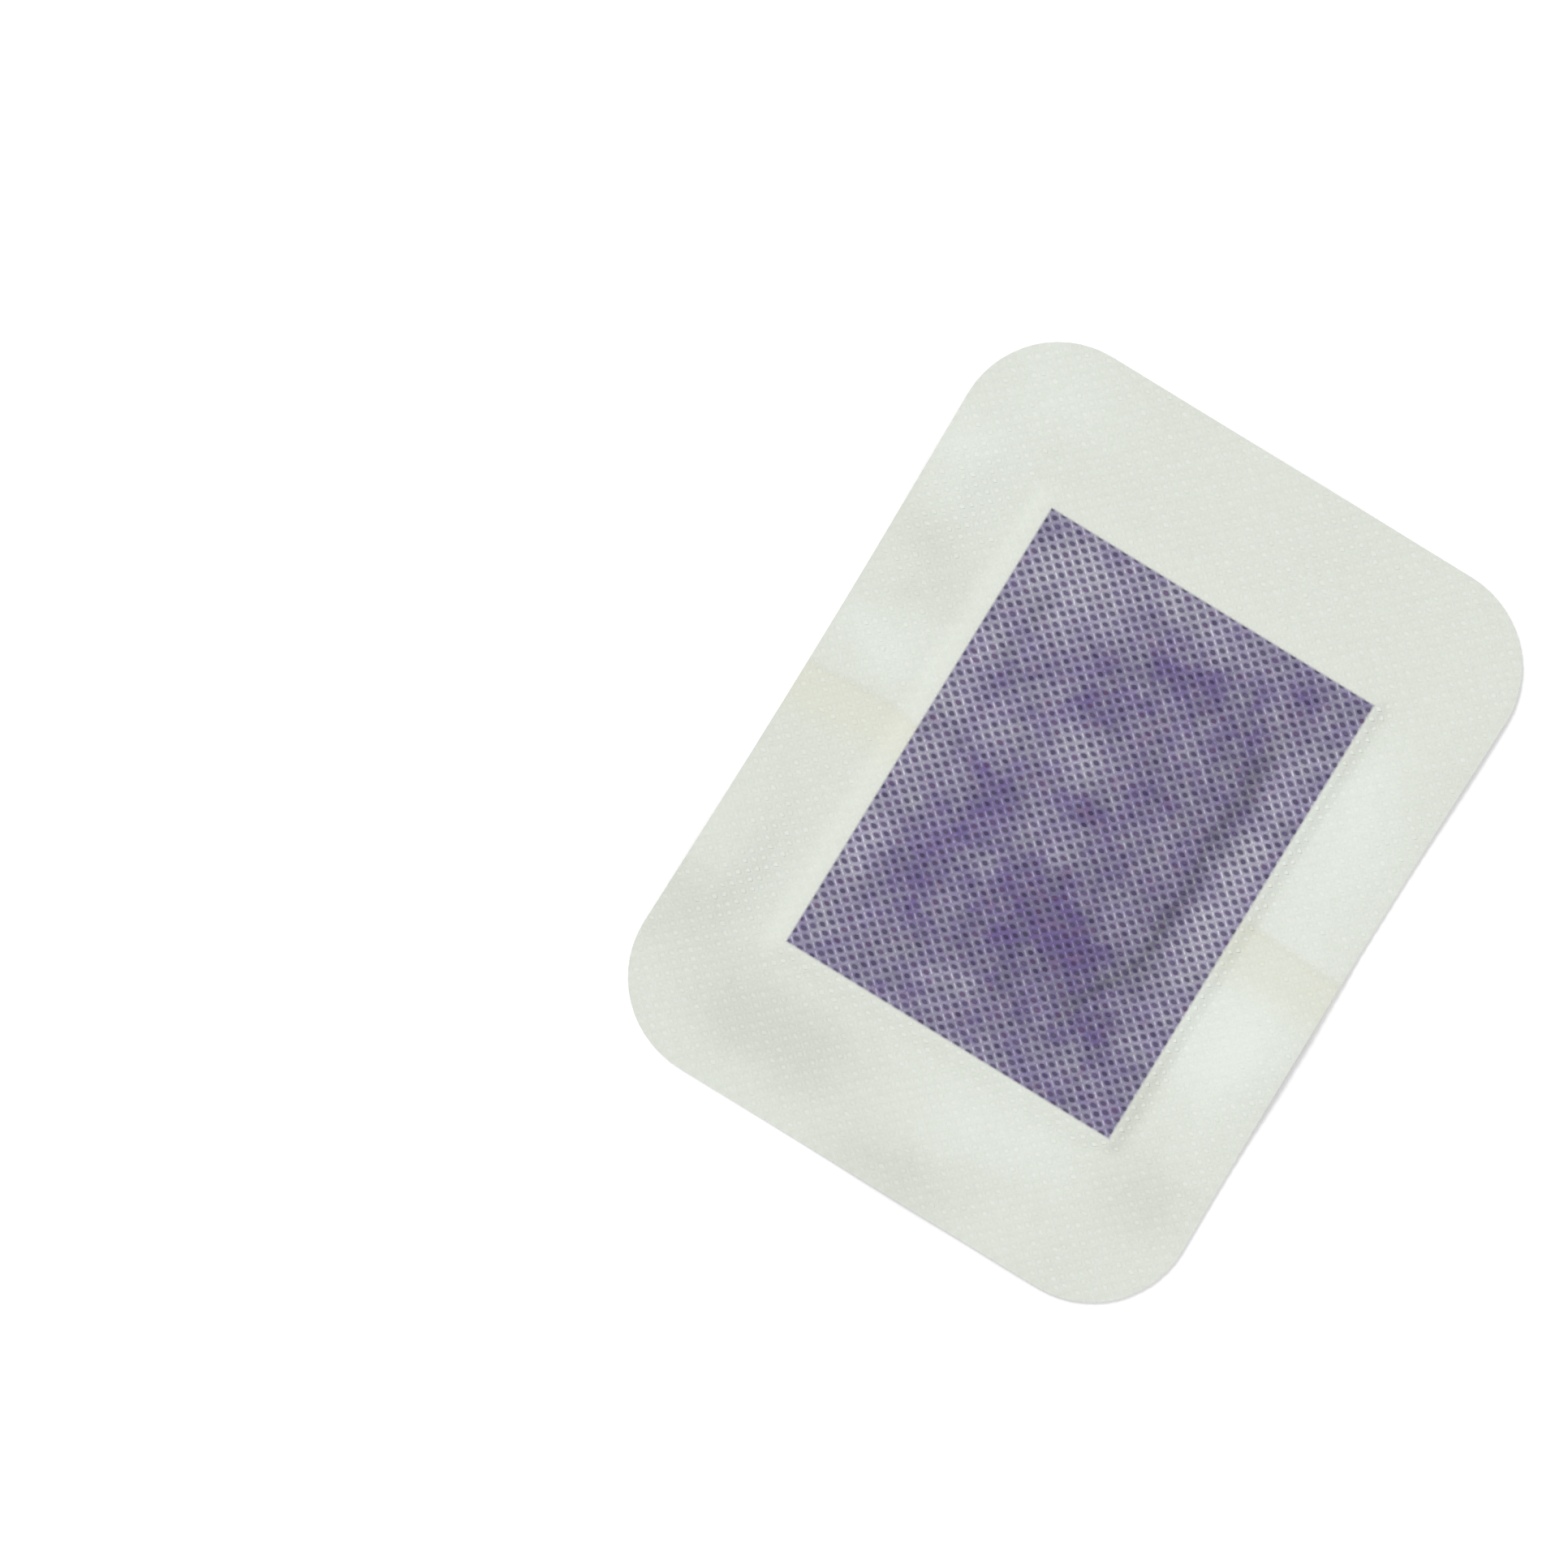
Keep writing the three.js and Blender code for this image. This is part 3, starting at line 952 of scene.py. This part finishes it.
def bond_point_tree(cloth, material):
    """Geometry nodes that set a small fused lozenge into every dimple of the cloth."""
    tree = bpy.data.node_groups.new("bond_points", "GeometryNodeTree")
    face = tree.interface
    face.new_socket("Geometry", in_out="INPUT", socket_type="NodeSocketGeometry")
    for name, kind, value in (
        ("Across", "NodeSocketFloat", bond_across * MM),
        ("Along", "NodeSocketFloat", bond_along * MM),
        ("Radius", "NodeSocketFloat", bond_radius * MM),
        ("Thickness", "NodeSocketFloat", bond_thickness * MM),
        ("Sunk", "NodeSocketFloat", bond_sunk * MM),
        ("Columns", "NodeSocketInt", bond_columns),
        ("Rows", "NodeSocketInt", bond_rows),
    ):
        face.new_socket(name, in_out="INPUT", socket_type=kind).default_value = value
    face.new_socket("Geometry", in_out="OUTPUT", socket_type="NodeSocketGeometry")
    build = Nodes(tree)
    given = build.add("NodeGroupInput").outputs

    def rows(shift):
        """One even lattice of points, moved by a share of its pitch."""
        grid = build.add("GeometryNodeMeshGrid")
        for key, name in (("X", "Across"), ("Y", "Along")):
            number = given["Columns" if key == "X" else "Rows"]
            span = build.math("MULTIPLY", build.math("SUBTRACT", number, 1.0), given[name])
            build.put(grid, f"Size {key}", span)
            build.put(grid, f"Vertices {key}", number)
        # The lattice is centred on a bond point near the middle of the cloth
        middle_x = bond_phase_x - round(bond_phase_x / bond_across) * bond_across
        middle_y = bond_phase_y - round(bond_phase_y / bond_along) * bond_along
        move = build.add("GeometryNodeTransform")
        build.put(move, "Geometry", grid.outputs["Mesh"])
        half = 0.5 + shift
        shift_x = (middle_x + half * bond_across) * MM
        shift_y = (middle_y + half * bond_along) * MM
        build.put(move, "Translation", (shift_x, shift_y, 0.0))
        return move.outputs[0]

    join = build.add("GeometryNodeJoinGeometry")
    for shift in (0.0, 0.5):
        tree.links.new(rows(shift), join.inputs[0])
    points = build.add("GeometryNodeMeshToPoints")
    build.put(points, "Mesh", join.outputs[0])
    jitter = build.add("FunctionNodeRandomValue", data_type="FLOAT_VECTOR")
    jitter_most = (bond_jitter_across * MM, bond_jitter_along * MM, 0.0)
    build.put(jitter, 0, tuple(-most for most in jitter_most))
    build.put(jitter, 1, jitter_most)
    build.put(jitter, "Seed", 4)
    nudge = build.add("GeometryNodeSetPosition")
    build.put(nudge, "Geometry", points.outputs[0])
    build.put(nudge, "Offset", jitter.outputs[0])

    surface = build.add("GeometryNodeObjectInfo", transform_space="ORIGINAL")
    build.put(surface, "Object", cloth)
    position = build.add("GeometryNodeInputPosition").outputs[0]
    above = (0.0, 0.0, 20.0 * MM)

    def drop(place):
        """Where a ray straight down from above a place meets the cloth."""
        ray = build.add("GeometryNodeRaycast")
        build.put(ray, "Target Geometry", surface.outputs["Geometry"])
        build.put(ray, "Source Position", build.vector("ADD", place, above))
        build.put(ray, "Ray Direction", (0.0, 0.0, -1.0))
        build.put(ray, "Ray Length", 0.05)
        return ray.outputs

    # A bond point that would reach past the cut edge is left out
    reach_out = (1.013, 1.010, 0.0)
    further_out = build.vector("MULTIPLY", position, reach_out)
    outside = build.math("SUBTRACT", 1.0, drop(further_out)["Is Hit"])
    keep = build.add("GeometryNodeDeleteGeometry", domain="POINT")
    build.put(keep, "Geometry", nudge.outputs[0])
    build.put(keep, "Selection", outside)
    landed = drop(position)
    sunk = build.math("MULTIPLY", given["Sunk"], -1.0)
    down = build.vector("SCALE", landed["Hit Normal"], scale=sunk)
    seat = build.add("GeometryNodeSetPosition")
    build.put(seat, "Geometry", keep.outputs[0])
    build.put(seat, "Position", build.vector("ADD", landed["Hit Position"], down))

    # A thin closed lozenge with eight corners, longer across the pad than along it
    lozenge = build.add("GeometryNodeCurveStar")
    build.put(lozenge, "Points", 4)
    build.put(lozenge, "Twist", 0.0)
    build.put(lozenge, "Inner Radius", build.math("MULTIPLY", given["Radius"], bond_waist))
    build.put(lozenge, "Outer Radius", given["Radius"])
    outline = build.add("GeometryNodeFillCurve")
    build.put(outline, "Curve", lozenge.outputs["Curve"])
    raised = build.add("GeometryNodeExtrudeMesh", mode="FACES")
    build.put(raised, "Mesh", outline.outputs["Mesh"])
    build.put(raised, "Offset Scale", given["Thickness"])
    build.put(raised, "Individual", False)
    under = build.add("GeometryNodeFlipFaces")
    build.put(under, "Mesh", outline.outputs["Mesh"])
    both = build.add("GeometryNodeJoinGeometry")
    for part in (raised.outputs["Mesh"], under.outputs["Mesh"]):
        tree.links.new(part, both.inputs[0])
    closed = build.add("GeometryNodeMergeByDistance")
    build.put(closed, "Geometry", both.outputs[0])
    build.put(closed, "Distance", weld_reach * MM)
    turn = build.add("FunctionNodeRandomValue", data_type="FLOAT_VECTOR")
    build.put(turn, 0, bond_turn_least)
    build.put(turn, 1, bond_turn_most)
    build.put(turn, "Seed", 9)
    size = build.add("FunctionNodeRandomValue", data_type="FLOAT_VECTOR")
    build.put(size, 0, bond_size_least)
    build.put(size, 1, bond_size_most)
    build.put(size, "Seed", 21)
    place = build.add("GeometryNodeInstanceOnPoints")
    build.put(place, "Points", seat.outputs[0])
    build.put(place, "Instance", closed.outputs[0])
    build.put(place, "Rotation", turn.outputs[0])
    build.put(place, "Scale", size.outputs[0])
    marked = place.outputs[0]
    for name, seed in (("bond_tone", 33), ("bond_stain", 57)):
        chance = build.add("FunctionNodeRandomValue", data_type="FLOAT")
        build.put(chance, "Seed", seed)
        store = build.add("GeometryNodeStoreNamedAttribute", data_type="FLOAT", domain="INSTANCE")
        build.put(store, "Geometry", marked)
        build.put(store, "Name", name)
        build.put(store, "Value", chance.outputs[1])
        marked = store.outputs[0]
    whole = build.add("GeometryNodeRealizeInstances")
    build.put(whole, "Geometry", marked)
    coat = build.add("GeometryNodeSetMaterial")
    build.put(coat, "Geometry", whole.outputs[0])
    build.put(coat, "Material", material)
    build.put(build.add("NodeGroupOutput"), 0, coat.outputs[0])
    return tree


def make_bond_points(cloth, material):
    """The bond points as one plain mesh."""
    host = bpy.data.objects.new("bond_points", bpy.data.meshes.new("bond_points"))
    scene.collection.objects.link(host)
    modifier = host.modifiers.new("bond_points", "NODES")
    modifier.node_group = bond_point_tree(cloth, material)
    made = host.evaluated_get(bpy.context.evaluated_depsgraph_get())
    mesh = bpy.data.meshes.new_from_object(made)
    host.modifiers.clear()
    host.data = mesh
    return host


# The pieces
liner_coat = liner_material()
liner_long = make_liner("liner_long_sheet", flap_edge, half_length, swell_height, liner_coat)
liner_short = make_liner(
    "liner_short_sheet",
    -half_length,
    short_edge,
    lambda x, y: liner_top(x, y) - liner_thickness,
    liner_coat,
)
sachet = make_sachet(sachet_material())
cover = make_cover(sachet, cover_material())
bonds = make_bond_points(cover, bond_material())

for piece, node, slot in (
    (liner_long, "liner_long", "release_liner"),
    (liner_short, "liner_short", "release_liner"),
    (sachet, "herb_sachet", "herb_sachet"),
    (cover, "cover_cloth", "cover_cloth"),
    (bonds, "cover_cloth", "cover_cloth"),
):
    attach(piece, "root")
    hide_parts(node)

# Stage, light and camera
floor_mesh = bpy.data.meshes.new("floor")
floor_reach = 3.0
floor_gap = 0.02
corners = [(x * floor_reach, y * floor_reach, 0.0) for x, y in ((-1, -1), (1, -1), (1, 1), (-1, 1))]
floor_mesh.from_pydata(corners, [], [(0, 1, 2, 3)])
floor_mesh.materials.append(stage_material())
floor = bpy.data.objects.new("floor", floor_mesh)
floor.location.z = -floor_gap * MM
scene.collection.objects.link(floor)

scene.view_settings.view_transform = "Standard"

world = bpy.data.worlds.new("studio")
world.use_nodes = True
scene.world = world
sky = Nodes(world.node_tree)
background = world.node_tree.nodes["Background"]
sky.put(background, "Color", (1.0, 1.0, 1.0, 1.0))
world_light = 0.64
sky.put(background, "Strength", sky.step(seen_itself(sky), 0.0, 1.0, world_light, 1.0))

lamp = bpy.data.lights.new("window", "SUN")
lamp.energy = 1.52
lamp.angle = math.radians(24)
lamp_object = bpy.data.objects.new("window", lamp)
towards_lamp = Vector((-0.68, 0.22, 0.80)).normalized()
lamp_object.rotation_mode = "QUATERNION"
lamp_object.rotation_quaternion = towards_lamp.to_track_quat("Z", "Y")
scene.collection.objects.link(lamp_object)

# The camera looks straight down, turned so that the pad lies askew as in the photograph
camera_height = 700.0
field_width = 188.5
camera_turn = math.radians(31.5)
camera_x = -32.2
camera_y = -14.35
camera = bpy.data.cameras.new("camera")
camera.sensor_width = 36.0
camera.lens = camera.sensor_width * camera_height / field_width
camera.clip_start = 0.01
camera_object = bpy.data.objects.new("camera", camera)
camera_object.location = (camera_x * MM, camera_y * MM, camera_height * MM)
camera_object.rotation_euler = (0.0, 0.0, camera_turn)
scene.collection.objects.link(camera_object)
scene.camera = camera_object
